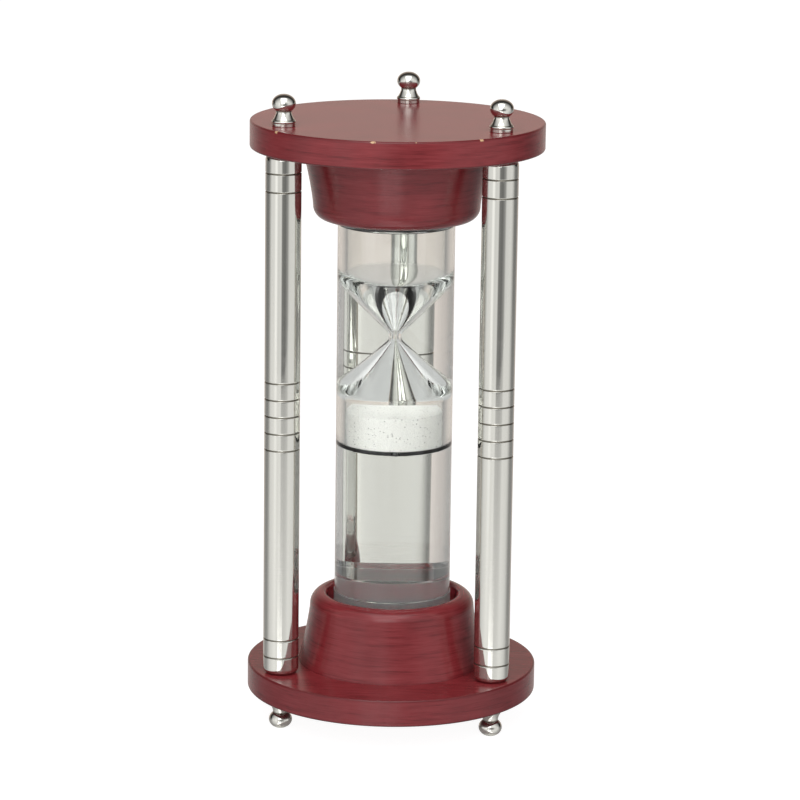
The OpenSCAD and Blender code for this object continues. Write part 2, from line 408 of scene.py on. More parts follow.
def chipped(tree):
    """Mask of the small chips on the top disc's front upper edge."""
    place = add(tree, "TexCoord").node.outputs["Object"]
    rough = add(tree, "TexNoise", {"Vector": place, "Scale": 1 / (0.9 * MM), "Detail": 3.0})
    radius = reach("top_disc")
    top = levels("top_disc")[1]
    mask = None
    for azimuth, half in CHIPS:
        angle = math.radians(azimuth)
        spot = (radius * math.sin(angle), -radius * math.cos(angle), top)
        away = add(tree, "VectorMath", {0: place, 1: spot}, operation="DISTANCE")
        away = away.node.outputs["Value"]
        ragged = add(
            tree,
            "Math",
            {0: rough, 1: -1.6 * half * MM, 2: away},
            operation="MULTIPLY_ADD",
        )
        near = add(
            tree,
            "MapRange",
            {"Value": ragged, 1: -0.25 * half * MM, 2: 0.1 * half * MM, 3: 1.0, 4: 0.0},
        )
        if mask is None:
            mask = near
        else:
            mask = add(tree, "Math", {0: mask, 1: near}, operation="MAXIMUM")
    corner = add(tree, "Attribute", attribute_name="corner").node.outputs["Fac"]
    edge = add(tree, "MapRange", {"Value": corner, 1: 0.15, 2: 0.6})
    return add(tree, "Math", {0: mask, 1: edge}, operation="MULTIPLY")


def lacquer_nodes(turned, chips):
    """Burgundy lacquer brushed over a dark glaze on turned wood: close streaks, darker
    corners, and a gloss that mirrors what stands on it softly."""

    def make(tree):
        tint = colours()
        fine = add(
            tree,
            "TexNoise",
            {"Vector": streaked(tree, (9, 0.35), turned), "Scale": 1.0, "Detail": 4.0},
        )
        broad = add(
            tree,
            "TexNoise",
            {"Vector": streaked(tree, (28, 1.6), turned), "Scale": 1.0, "Detail": 3.0},
        )
        both = add(tree, "Math", {0: fine, 1: broad}, operation="ADD")
        tone = add(
            tree,
            "ValToRGB",
            {0: add(tree, "MapRange", {"Value": both, 1: 0.45, 2: 1.55})},
            stops=(
                (0.1, tint.lacquer_dark),
                (0.45, tint.lacquer),
                (1.0, tint.lacquer_light),
            ),
        )
        place = add(tree, "TexCoord").node.outputs["Object"]
        cloud = add(tree, "TexNoise", {"Vector": place, "Scale": 1 / (16 * MM), "Detail": 3.0})
        cloud = add(tree, "MapRange", {"Value": cloud, 1: 0.3, 2: 0.7, 3: 0.88, 4: 1.1})
        tone = add(tree, "VectorMath", {0: tone, "Scale": cloud}, operation="SCALE")
        corner = add(tree, "Attribute", attribute_name="corner").node.outputs["Fac"]
        edge = add(tree, "MapRange", {"Value": corner, 1: 0.3, 2: 1.0, 4: 0.55})
        tone = add(
            tree,
            "Mix",
            {"Factor": edge, 6: tone, 7: (*tint.lacquer_dark, 1)},
            data_type="RGBA",
        ).node.outputs[2]
        if chips:
            tone = add(
                tree,
                "Mix",
                {"Factor": chipped(tree), 6: tone, 7: (*tint.chip, 1)},
                data_type="RGBA",
            ).node.outputs[2]
        relief = add(
            tree,
            "Bump",
            {"Height": both, "Strength": 0.35, "Distance": 0.03 * MM},
        )
        gloss = add(tree, "MapRange", {"Value": fine, 1: 0.3, 2: 0.7, 3: 0.26, 4: 0.36})
        return add(
            tree,
            "BsdfPrincipled",
            {
                "Base Color": tone,
                "Roughness": gloss,
                "IOR": 1.5,
                "Specular IOR Level": 0.0,
                "Normal": relief,
                "Coat Weight": 1.0,
                "Coat Roughness": 0.24,
                "Coat IOR": 1.43,
            },
        )

    return make


def lacquer(turned, chips=False):
    """Brushed burgundy lacquer."""
    name = "burgundy_lacquer_" + ("turned" if turned else "flat")
    if chips:
        name += "_chipped"
    return finish_called(name, lacquer_nodes(turned, chips))


def nickel_nodes(tree):
    """Bright nickel plate, turned and then buffed: a near mirror with fine rings round it,
    and painted shade in the grooves, which are also duller."""
    tint = colours()
    rings = add(
        tree,
        "TexNoise",
        {"Vector": streaked(tree, (30, 0.6), True), "Scale": 1.0, "Detail": 4.0},
    )
    place = add(tree, "TexCoord").node.outputs["Object"]
    haze = add(tree, "TexNoise", {"Vector": place, "Scale": 1 / (5 * MM), "Detail": 5.0})
    hollow = add(tree, "Attribute", attribute_name="hollow").node.outputs["Fac"]
    hollow = add(tree, "MapRange", {"Value": hollow, 1: 0.1, 2: 0.8})
    # Painted shade: hollows such as the grooves are coloured a darker grey, where shade falls
    tone = add(
        tree,
        "Mix",
        {"Factor": hollow, 6: (*tint.nickel, 1), 7: (*tint.painted_groove_shade, 1)},
        data_type="RGBA",
    ).node.outputs[2]
    dull = add(tree, "MapRange", {"Value": haze, 1: 0.35, 2: 0.75, 3: 0.05, 4: 0.11})
    dull = add(tree, "Math", {0: hollow, 1: 0.35, 2: dull}, operation="MULTIPLY_ADD")
    relief = add(tree, "Bump", {"Height": rings, "Strength": 0.25, "Distance": 0.012 * MM})
    return add(
        tree,
        "BsdfPrincipled",
        {"Base Color": tone, "Metallic": 1.0, "Roughness": dull, "Normal": relief},
    )


def nickel():
    """Polished nickel plate."""
    return finish_called("nickel_plate_polished", nickel_nodes)


def zinc_nodes(tree):
    """Zinc plate on drawn steel: a grey metal with a soft, cloudy shine."""
    place = add(tree, "TexCoord").node.outputs["Object"]
    spangle = add(tree, "TexNoise", {"Vector": place, "Scale": 1 / (1.5 * MM), "Detail": 4.0})
    shine = add(tree, "MapRange", {"Value": spangle, 3: 0.25, 4: 0.5})
    relief = add(tree, "Bump", {"Height": spangle, "Strength": 0.3, "Distance": 0.02 * MM})
    return add(
        tree,
        "BsdfPrincipled",
        {
            "Base Color": (*colours().zinc, 1),
            "Metallic": 1.0,
            "Roughness": shine,
            "Normal": relief,
        },
    )


def acrylic_nodes(index, wave, clear, blur):
    """Clear acrylic, polished: a faint cool tint and hair-fine ripples from extrusion. Glue
    lines and turned rims scatter a little light, which greys them."""

    def make(tree):
        ripple = add(
            tree,
            "TexNoise",
            {"Vector": streaked(tree, (18, 12), True), "Scale": 1.0, "Detail": 2.0},
        )
        relief = add(tree, "Bump", {"Height": ripple, "Strength": wave, "Distance": 0.02 * MM})
        return add(
            tree,
            "BsdfPrincipled",
            {
                "Base Color": (*colours().acrylic, 1),
                "Roughness": blur,
                "IOR": index,
                "Transmission Weight": clear,
                "Normal": relief,
            },
        )

    return make


# Refractive index across the surface, ripple, clearness and roughness of each kind of
# surface that the acrylic has
SURFACES = {
    "air": (1.49, 0.3, 1.0, 0.0),
    "liquid": (1.12, 0.3, 1.0, 0.0),
    "bond": (1.01, 0.0, 0.96, 0.0),
    "rim": (1.49, 0.3, 0.88, 0.3),
}


def acrylic(against):
    """Clear acrylic where it meets air, the liquid, or another piece it is bonded to, and
    on a turned rim."""
    return finish_called("clear_acrylic_" + against, acrylic_nodes(*SURFACES[against]))


def rubber_nodes(tree):
    """Moulded black rubber: nearly black, with a low waxy sheen and a fine grain."""
    place = add(tree, "TexCoord").node.outputs["Object"]
    grain = add(tree, "TexNoise", {"Vector": place, "Scale": 1 / (0.4 * MM), "Detail": 4.0})
    shine = add(tree, "MapRange", {"Value": grain, 3: 0.4, 4: 0.65})
    relief = add(tree, "Bump", {"Height": grain, "Strength": 0.4, "Distance": 0.03 * MM})
    return add(
        tree,
        "BsdfPrincipled",
        {
            "Base Color": (*colours().rubber, 1),
            "Roughness": shine,
            "IOR": 1.52,
            "Normal": relief,
        },
    )


def nylon_nodes(tree):
    """Moulded white nylon: slightly warm and translucent-looking, with a satin skin."""
    place = add(tree, "TexCoord").node.outputs["Object"]
    skin = add(tree, "TexNoise", {"Vector": place, "Scale": 1 / (0.8 * MM), "Detail": 3.0})
    shine = add(tree, "MapRange", {"Value": skin, 3: 0.35, 4: 0.5})
    relief = add(tree, "Bump", {"Height": skin, "Strength": 0.2, "Distance": 0.02 * MM})
    return add(
        tree,
        "BsdfPrincipled",
        {
            "Base Color": (*colours().nylon, 1),
            "Roughness": shine,
            "IOR": 1.53,
            "Subsurface Weight": 0.15,
            "Normal": relief,
        },
    )


def sand_nodes(tree):
    """Washed white quartz sand: matt and bright, with a few dark grains. Grains are drawn
    0.35 mm wide, a little coarser than real ones, so that they show."""
    tint = colours()
    place = add(tree, "TexCoord").node.outputs["Object"]
    cells = add(tree, "TexVoronoi", {"Vector": place, "Scale": 1 / (0.35 * MM)}).node
    pick = add(tree, "SeparateXYZ", {0: cells.outputs["Color"]}).node
    dark = add(tree, "Math", {0: pick.outputs[0], 1: 0.985}, operation="GREATER_THAN")
    shade = add(tree, "MapRange", {"Value": pick.outputs[1], 3: 0.88, 4: 1.0})
    white = add(tree, "VectorMath", {0: tint.sand, "Scale": shade}, operation="SCALE")
    tone = add(
        tree,
        "Mix",
        {"Factor": dark, 6: white, 7: (*tint.grain, 1)},
        data_type="RGBA",
    ).node.outputs[2]
    relief = add(
        tree,
        "Bump",
        {"Height": cells.outputs["Distance"], "Strength": 0.5, "Distance": 0.12 * MM},
        invert=True,
    )
    return add(
        tree,
        "BsdfPrincipled",
        {"Base Color": tone, "Roughness": 0.9, "IOR": 1.46, "Normal": relief},
    )


def board_nodes(tree):
    """Laminated white board, lit from under: even, with a faint tooth. The eye sees it white,
    and the metal and the liquid see its softer grey and its gloss."""
    place = add(tree, "TexCoord").node.outputs["Object"]
    tooth = add(tree, "TexNoise", {"Vector": place, "Scale": 1 / (1.2 * MM), "Detail": 3.0})
    path = add(tree, "LightPath").node
    direct = path.outputs["Is Camera Ray"]
    matt = add(tree, "MapRange", {"Value": path.outputs["Is Diffuse Ray"], 3: 1.0, 4: 0.4})
    shade = add(tree, "MapRange", {"Value": direct, 3: matt, 4: 0.35})
    shine = add(tree, "MapRange", {"Value": path.outputs["Is Glossy Ray"], 3: 0.06, 4: 0.22})
    under = add(tree, "MapRange", {"Value": direct, 3: shine, 4: 0.94})
    mirror = add(tree, "MapRange", {"Value": path.outputs["Is Glossy Ray"], 4: 0.65})
    blur = add(tree, "MapRange", {"Value": path.outputs["Is Glossy Ray"], 3: 0.9, 4: 0.12})
    tone = add(tree, "VectorMath", {0: colours().floor, "Scale": shade}, operation="SCALE")
    relief = add(tree, "Bump", {"Height": tooth, "Strength": 0.1, "Distance": 0.03 * MM})
    return add(
        tree,
        "BsdfPrincipled",
        {
            "Base Color": tone,
            "Metallic": mirror,
            "Roughness": blur,
            "Specular IOR Level": 0.0,
            "Normal": relief,
            "Coat Weight": path.outputs["Is Glossy Ray"],
            "Coat Roughness": 0.12,
            "Emission Color": (1.0, 1.0, 1.0, 1),
            "Emission Strength": under,
        },
    )


# ---- pieces ----


class HOURGLASS_OT_discs(bpy.types.Operator):
    """Build the top and bottom discs"""

    bl_idname = "hourglass.discs"
    bl_label = "Discs"

    def execute(self, context):
        for node, upside_down in (("bottom_disc", False), ("top_disc", True)):
            low, high = levels(node)
            radius = reach(node)
            edge = sizes().disc_edge
            thick = high - low
            steps = [radius * share for share in (0.3, 0.6, 0.85)]
            outline = [(0, 0), *[(r, 0) for r in steps]]
            outline += arc((radius - edge, edge), edge, -90, 0, 6)
            outline += arc((radius - edge, thick - edge), edge, 0, 90, 6)
            outline += [(r, thick) for r in reversed(steps)] + [(0, thick)]
            outline = held(outline)
            base = high if upside_down else low
            outline = placed(outline, base, upside_down)
            runs = zip(outline, outline[1:] + outline[:1])
            kinds = [1 if abs(start[1] - end[1]) < 1e-7 else 0 for start, end in runs]
            piece = lathe(node + "_turned", outline, 256, kinds=kinds)
            bore, depth = 1.75 * MM, 6.7 * MM
            pilot = [
                (0, thick - depth),
                (bore, thick - depth),
                (bore, thick + MM),
                (0, thick + MM),
            ]
            bits = rod_bits(low - MM, high + MM) + screw_bits(pilot, base, upside_down)
            drill(piece, bits)
            show(piece, node, [lacquer(True, upside_down), lacquer(False, upside_down)])
        return {"FINISHED"}


class HOURGLASS_OT_collars(bpy.types.Operator):
    """Build the two turned collars that hold the tube"""

    bl_idname = "hourglass.collars"
    bl_label = "Collars"

    def execute(self, context):
        for node, upside_down in (("lower_collar", False), ("upper_collar", True)):
            low, high = levels(node)
            base = high if upside_down else low
            outline = placed(held(self.outline(reach(node), high - low)), base, upside_down)
            piece = lathe(node + "_turned", outline, 256)
            floor = sizes().collar_floor
            shank, head = 1.95 * MM, 3.8 * MM
            screw = [
                (0, -MM),
                (shank, -MM),
                (shank, floor - 2.3 * MM),
                (head, floor - 0.3 * MM),
                (head, floor + MM),
                (0, floor + MM),
            ]
            drill(piece, screw_bits(screw, base, upside_down))
            show(piece, node, [lacquer(True)])
        return {"FINISHED"}

    def outline(self, foot, height):
        """Outline of a collar drawn up from its disc."""
        size = sizes()
        straight = height - size.shoulder
        wall = []
        steps, flare = 24, 1.3
        for i in range(steps):
            share = i / steps
            spread = (foot - size.collar_rim) * (1 - share) ** flare
            wall.append((size.collar_rim + spread, straight * share))
        shoulder = arc((size.collar_rim - size.shoulder, straight), size.shoulder, 0, 90, 20)
        lip = size.collar_lip
        inner = arc((size.collar_bore + lip, height - lip), lip, 90, 180, 8)
        floor = [(size.collar_bore, size.collar_floor), (0, size.collar_floor)]
        return [(0, 0)] + wall + shoulder + inner + floor


class HOURGLASS_OT_columns(bpy.types.Operator):
    """Build the three grooved columns"""

    bl_idname = "hourglass.columns"
    bl_label = "Columns"

    def execute(self, context):
        for side in SIDES:
            node = "column_" + side
            low, high = levels(node)
            outline = placed(held(self.outline(reach(node), high - low)), low, False)
            piece = lathe(node + "_plated", outline, 128, middle(node))
            show(piece, node, [nickel()])
        return {"FINISHED"}

    def outline(self, radius, height):
        """Outline of a column with its bore and nine grooves."""
        size = sizes()
        bore = 3 * MM
        end = size.column_end
        ends = [size.end_step * i for i in (1, 2)]
        middles = [
            height / 2 + size.middle_rise + size.middle_step * i for i in range(-2, 3)
        ]
        points = [(bore, 0)] + arc((radius - end, end), end, -90, 0, 12)
        for level in ends + middles + [height - h for h in reversed(ends)]:
            points += self.groove(radius, level)
        points += arc((radius - end, height - end), end, 0, 90, 12)
        return points + [(bore, height)]

    def groove(self, radius, level):
        """One groove with its two rounded lips."""
        size = sizes()
        cut, lip = size.groove, size.groove_lip
        out = cut + lip
        lower = arc((radius - lip, level - out), lip, 0, 90, 4)
        upper = arc((radius - lip, level + out), lip, -90, 0, 4)
        return lower + arc((radius - lip, level), cut, 270, 90, 10) + upper


class HOURGLASS_OT_finials(bpy.types.Operator):
    """Build the finials on the top disc and the feet under the bottom one"""

    bl_idname = "hourglass.finials"
    bl_label = "Finials and feet"

    def execute(self, context):
        for side in SIDES:
            for kind, upside_down in (("finial_", False), ("foot_", True)):
                node = kind + side
                low, high = levels(node)
                base = high if upside_down else low
                outline = placed(self.outline(high - low), base, upside_down)
                piece = lathe(node + "_plated", outline, 96, middle(node))
                show(piece, node, [nickel()])
        return {"FINISHED"}

    def outline(self, height):
        """Outline of a finial drawn up from its disc: bead, flare, neck and ball."""
        size = sizes()
        bead, bead_level = 0.7 * MM, 2.1 * MM
        rim = 5.2 * MM - bead
        ball, neck = 5.1 * MM, size.neck / 2
        neck_level = 6.2 * MM
        flare_level = bead_level + bead
        bow = 0.25 * MM
        rod, bore = 2 * MM, 8.5 * MM
        points = [(rod, 0), (rim + 0.3 * MM, 0), (rim + 0.5 * MM, 0.2 * MM)]
        points += [(rim + 0.5 * MM, bead_level - bead)]
        points += arc((rim, bead_level), bead, -60, 60, 12)
        start = rim + 0.2 * MM
        steps = 12
        for i in range(steps + 1):
            share = i / steps
            r = start + (neck - start) * share - bow * math.sin(math.pi * share)
            points.append((r, flare_level + (neck_level - flare_level) * share))
        crown = 1.2 * MM
        low = -math.acos(neck / ball)
        high = math.acos(crown / ball)
        centre = height - size.ball / 2
        steps = 36
        for i in range(steps + 1):
            angle = low + (high - low) * i / steps
            rise = size.ball / 2 * math.sin(angle) / math.sin(high)
            points.append((ball * math.cos(angle), centre + rise))
        return points + [(0, height), (0, bore), (rod, bore)]


class HOURGLASS_OT_tube(bpy.types.Operator):
    """Build the clear tube and the two plugs that close it"""

    bl_idname = "hourglass.tube"
    bl_label = "Tube and plugs"

    def execute(self, context):
        self.tube()
        self.plug("bottom_plug", False)
        self.plug("top_plug", True)
        return {"FINISHED"}

    def tube(self):
        """Outside meets air, inside meets the liquid, and both ends are bonded to the plugs."""
        low, high = levels("tube")
        outer = reach("tube")
        inner = outer - sizes().tube_wall
        wet_low = levels("bottom_plug")[1]
        wet_high = levels("top_plug")[0]
        chamfer = 0.25 * MM
        outline = [
            (inner, low),
            (outer - chamfer, low),
            (outer, low + chamfer),
            (outer, high - chamfer),
            (outer - chamfer, high),
            (inner, high),
            (inner, wet_high),
            (inner, wet_low),
        ]
        piece = lathe("tube_acrylic", outline, 320, kinds=(2, 0, 0, 0, 2, 2, 1, 2))
        show(piece, "tube", [acrylic("air"), acrylic("liquid"), acrylic("bond")])

    def plug(self, node, upside_down):
        """A flange, and a spigot bonded into the tube, whose face meets the liquid."""
        low, high = levels(node)
        tube_low, tube_high = levels("tube")
        flange = reach(node)
        thick = high - tube_high if upside_down else tube_low - low
        spigot = reach("tube") - sizes().tube_wall - 0.03 * MM
        tube_edge = reach("tube")
        land = thick - FIT
        chamfer, edge = 0.3 * MM, 0.1 * MM
        outline = [
            (0, 0),
            (flange - chamfer, 0),
            (flange, chamfer),
            (flange, land - edge),
            (flange - edge, land),
            (tube_edge, land),
            (spigot, land),
            (spigot, high - low),
            (0, high - low),
        ]
        kinds = [0, 3, 3, 3, 3, 2, 2, 1, 1]
        if upside_down:
            bore = 3 * MM
            outline = [(bore, 0)] + outline[1:-1] + [(bore, high - low)]
            base = high
            outline = placed(outline, base, True)
            kinds = kinds[-2::-1] + kinds[-1:]
        else:
            outline = placed(outline, low, False)
        piece = lathe(node + "_acrylic", outline, 320, kinds=kinds)
        show(piece, node, [acrylic(kind) for kind in ("air", "liquid", "bond", "rim")])


class HOURGLASS_OT_rings(bpy.types.Operator):
    """Build the rubber rings that centre the tube in its collars"""

    bl_idname = "hourglass.rings"
    bl_label = "Rubber rings"

    def execute(self, context):
        for node in ("upper_ring", "lower_ring"):
            low, high = levels(node)
            section = (high - low) / 2
            outline = arc((reach(node) - section, low + section), section, 0, 345, 23)
            piece = lathe(node + "_rubber", outline, 192)
            show(piece, node, [finish_called("black_rubber_moulded", rubber_nodes)])
        return {"FINISHED"}


def bulb_outline(out):
    """Half outline of a bulb about the waist, from the waist up, moved out from the hollow."""
    size = sizes()
    wall = size.capsule_wall
    bulb = reach("capsule_shell") - wall
    cone = size.cone
    x1 = size.waist + size.throat * (1 - math.cos(cone))
    x2 = bulb - size.bulb_curve * (1 - math.cos(cone))
    rise = size.throat * math.sin(cone) + (x2 - x1) / math.tan(cone)
    shoulder = rise + size.bulb_curve * math.sin(cone)
    low, high = levels("capsule_shell")
    turn = math.degrees(cone)
    throat = arc((size.waist + size.throat, 0), size.throat - out, 180, 180 - turn, 16)
    curve = arc((bulb - size.bulb_curve, shoulder), size.bulb_curve + out, -turn, 0, 32)
    return throat + curve + [(bulb + out, (high - low) / 2)]


def both_bulbs(out):
    """Outline of both bulbs, from the lower open end to the upper one."""
    upper = bulb_outline(out)
    lower = [(r, -z) for r, z in reversed(upper[1:])]
    return lower + upper


class HOURGLASS_OT_capsule(bpy.types.Operator):
    """Build the floating capsule's shell, end caps and seals"""

    bl_idname = "hourglass.capsule"
    bl_label = "Capsule"

    def execute(self, context):
        self.shell()
        self.cap("capsule_top_cap", False)
        self.cap("capsule_base_cap", True)
        self.seal("capsule_top_seal")
        self.seal("capsule_base_seal")
        return {"FINISHED"}

    def shell(self):
        """Outside meets the liquid, inside meets air."""
        waist = middle("capsule_shell").z
        outer = both_bulbs(sizes().capsule_wall)
        inner = list(reversed(both_bulbs(0)))
        outline = placed(outer + inner, waist, False)
        kinds = [1] * (len(outer) - 1) + [2] + [0] * (len(inner) - 1) + [2]
        piece = lathe("capsule_shell_acrylic", outline, 320, kinds=kinds)
        show(piece, "capsule_shell", [acrylic("air"), acrylic("liquid"), acrylic("bond")])

    def cap(self, node, bored):
        """A thin disc: its inner face meets air, its outer face the liquid, and its rim is
        bonded to the shell. The base cap is bored for the stopper."""
        low, high = levels(node)
        radius = reach(node)
        bulb = radius - sizes().capsule_wall
        chamfer = 0.15 * MM
        outline = [
            (0, 0),
            (radius - chamfer, 0),
            (radius, chamfer),
            (radius, high - low - chamfer),
            (radius - chamfer, high - low),
            (bulb, high - low),
            (0, high - low),
        ]
        outline = placed(outline, low if bored else high, not bored)
        kinds = (1, 1, 1, 2, 2, 0, 1) if bored else (0, 2, 2, 1, 1, 1, 1)
        piece = lathe(node + "_acrylic", outline, 320, kinds=kinds)
        if bored:
            hole = reach("sand_stopper") + FIT
            bit = [(0, low - MM), (hole, low - MM), (hole, high + MM), (0, high + MM)]
            drill(piece, [lathe("bit", bit, 64, middle("sand_stopper"))])
        show(piece, node, [acrylic("air"), acrylic("liquid"), acrylic("bond")])

    def seal(self, node):
        """A thin ring of black rubber."""
        low, high = levels(node)
        radius = reach(node)
        inside = radius - 0.4 * MM  # width of the ring
        soft = 0.05 * MM
        outline = [
            (inside, low),
            (radius - soft, low),
            (radius, low + soft),
            (radius, high - soft),
            (radius - soft, high),
            (inside, high),
        ]
        piece = lathe(node + "_rubber", outline, 192)
        show(piece, node, [finish_called("black_rubber_moulded", rubber_nodes)])


class HOURGLASS_OT_sand(bpy.types.Operator):
    """Build the sand and the stopper under it"""

    bl_idname = "hourglass.sand"
    bl_label = "Sand and stopper"

    def execute(self, context):
        self.sand()
        self.stopper()
        return {"FINISHED"}

    def sand(self):
        """Sand settled in the lower bulb, with a low mound under the waist."""
        low, high = levels("sand")
        mound = sizes().sand_mound
        edge_level = high - mound
        base = reach("sand")
        corner = 0.2 * MM
        outline = [(0, low), (base - corner, low), (base, low + corner)]
        rows, rings = 24, 60
        for i in range(1, rows):
            outline.append((base, low + (edge_level - low) * i / rows))
        for i in range(rings):
            share = i / rings
            climb = min(1, share * 1.25)
            level = edge_level + mound * climb * (2 - climb) * 0.9
            outline.append((base * (1 - share), level))
        outline.append((0, high))
        piece = lathe("sand_quartz", outline, 320)
        self.ripple(piece, edge_level, high)
        show(piece, "sand", [finish_called("white_quartz_sand", sand_nodes)])

    def ripple(self, piece, edge_level, high):
        """Ripples the sand's surface, and keeps it under its highest point."""
        for vert in piece.data.vertices:
            off_axis = math.hypot(vert.co.x, vert.co.y) > 1e-6
            if vert.co.z > edge_level - 0.01 * MM and off_axis:
                wave = noise.noise(vert.co / (2.4 * MM)) * 0.18 * MM
                grit = noise.noise(vert.co / (0.7 * MM)) * 0.1 * MM
                vert.co.z = min(high, vert.co.z + wave + grit - 0.1 * MM)

    def stopper(self):
        """A small domed plug of black rubber in the base cap."""
        node = "sand_stopper"
        low, high = levels(node)
        radius = reach(node)
        drop = 0.6 * MM
        dome = (radius * radius + drop * drop) / (2 * drop)
        turn = math.degrees(math.asin(radius / dome))
        outline = arc((0, low + dome), dome, -90, turn - 90, 10)
        outline += [(radius, high - 0.05 * MM), (radius - 0.05 * MM, high), (0, high)]
        outline[0] = (0, low)
        piece = lathe("sand_stopper_rubber", outline, 64, middle(node))
        show(piece, node, [finish_called("black_rubber_moulded", rubber_nodes)])


class HOURGLASS_OT_fittings(bpy.types.Operator):
    """Finish the hidden rods, screws, pads and filler screw"""

    bl_idname = "hourglass.fittings"
    bl_label = "Hidden fittings"

    def execute(self, context):
        zinc = finish_called("zinc_plated_steel", zinc_nodes)
        rubber = finish_called("black_rubber_moulded", rubber_nodes)
        nylon = finish_called("white_nylon_moulded", nylon_nodes)
        steel = ["tie_rod_" + side for side in SIDES]
        steel += ["upper_collar_screws", "lower_collar_screws"]
        for node in steel:
            self.finish(node, zinc)
        for node in ("upper_pad", "lower_pad"):
            self.finish(node, rubber)
        self.finish("filler_screw", nylon)
        return {"FINISHED"}

    def finish(self, node, material):
        """Gives a CAD node its material."""
        for slot in frame["nodes"][node].material_slots:
            slot.material = material


# ---- stage ----

# Level of the studio at each azimuth from the camera, in degrees: positive is to the right.
# The camera's own stand is dark in front, with a strip light to its left, and there are
# dark gaps at both sides between the front lights and the backdrop.
STUDIO = (
    (-180, 0.7),
    (-140, 0.66),
    (-126, 0.5),
    (-118, 0.05),
    (-106, 0.06),
    (-92, 0.3),
    (-78, 0.9),
    (-54, 0.95),
    (-46, 1.25),
    (-38, 1.2),
    (-30, 0.85),
    (-10, 0.9),
    (-3, 0.26),
    (16, 0.2),
    (32, 0.4),
    (42, 0.85),
    (76, 0.9),
    (92, 0.5),
    (108, 0.08),
    (120, 0.08),
    (132, 0.45),
    (152, 0.6),
    (180, 0.7),
)


